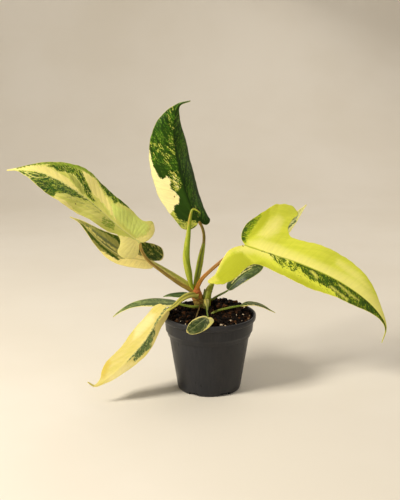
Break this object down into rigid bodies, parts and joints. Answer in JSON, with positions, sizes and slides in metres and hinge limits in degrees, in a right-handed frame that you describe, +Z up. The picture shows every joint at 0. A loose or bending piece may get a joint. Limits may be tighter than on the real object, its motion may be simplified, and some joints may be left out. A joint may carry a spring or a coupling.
{
  "type": "potted variegated philodendron",
  "caption": "Young variegated philodendron with long arrow-shaped leaves on thin stalks, standing in a round tapered nursery pot of soil.",
  "frame": {"origin": "middle of the pot's underside, on the surface it stands on", "axes": "+Z up along the pot's axis; the plant's best side looks along -Y, with +X to the right seen from there"},
  "size_m": [0.4054, 0.1155, 0.3256],
  "materials": {
    "pot_plastic": "dark charcoal moulded plastic, soft sheen",
    "potting_mix": "damp dark bark and peat crumbs with pale grains",
    "stem_skin": "tan to orange-red smooth bark",
    "young_stem_skin": "pale green, satin",
    "root_skin": "olive brown, matte",
    "green_stalk_skin": "light green with paler streaks, satin",
    "orange_stalk_skin": "orange-brown, satin",
    "sage_leaf": "sage green with dark green and cream marks, waxy",
    "dark_leaf": "dark green with cream marks, glossy",
    "lime_leaf": "lime yellow with a dark green stripe, waxy",
    "cream_leaf": "cream yellow with a green band, waxy",
    "grey_leaf": "grey green with cream streaks, satin"
  },
  "bodies": {
    "root": {"pot": "pot_plastic", "soil": "potting_mix", "stem_main": "stem_skin", "stem_side": "young_stem_skin", "new_leaf_spike": "green_stalk_skin", "bud_small": "green_stalk_skin", "aerial_root": "root_skin", "leaf_upper_left": "sage_leaf", "petiole_upper_left": "orange_stalk_skin", "leaf_lower_left": "dark_leaf", "petiole_lower_left": "green_stalk_skin", "leaf_upright": "dark_leaf", "petiole_upright": "green_stalk_skin", "leaf_lobed_right": "lime_leaf", "petiole_lobed_right": "orange_stalk_skin", "leaf_drooping": "cream_leaf", "petiole_drooping": "green_stalk_skin", "leaf_side_left": "grey_leaf", "petiole_side_left": "green_stalk_skin", "leaf_back_left": "grey_leaf", "petiole_back_left": "green_stalk_skin", "leaf_back_right": "grey_leaf", "petiole_back_right": "green_stalk_skin", "leaf_side_right": "grey_leaf", "petiole_side_right": "green_stalk_skin", "leaf_front_small": "grey_leaf", "petiole_front_small": "green_stalk_skin", "leaf_behind_right": "grey_leaf", "petiole_behind_right": "green_stalk_skin"}
  },
  "joints": []
}
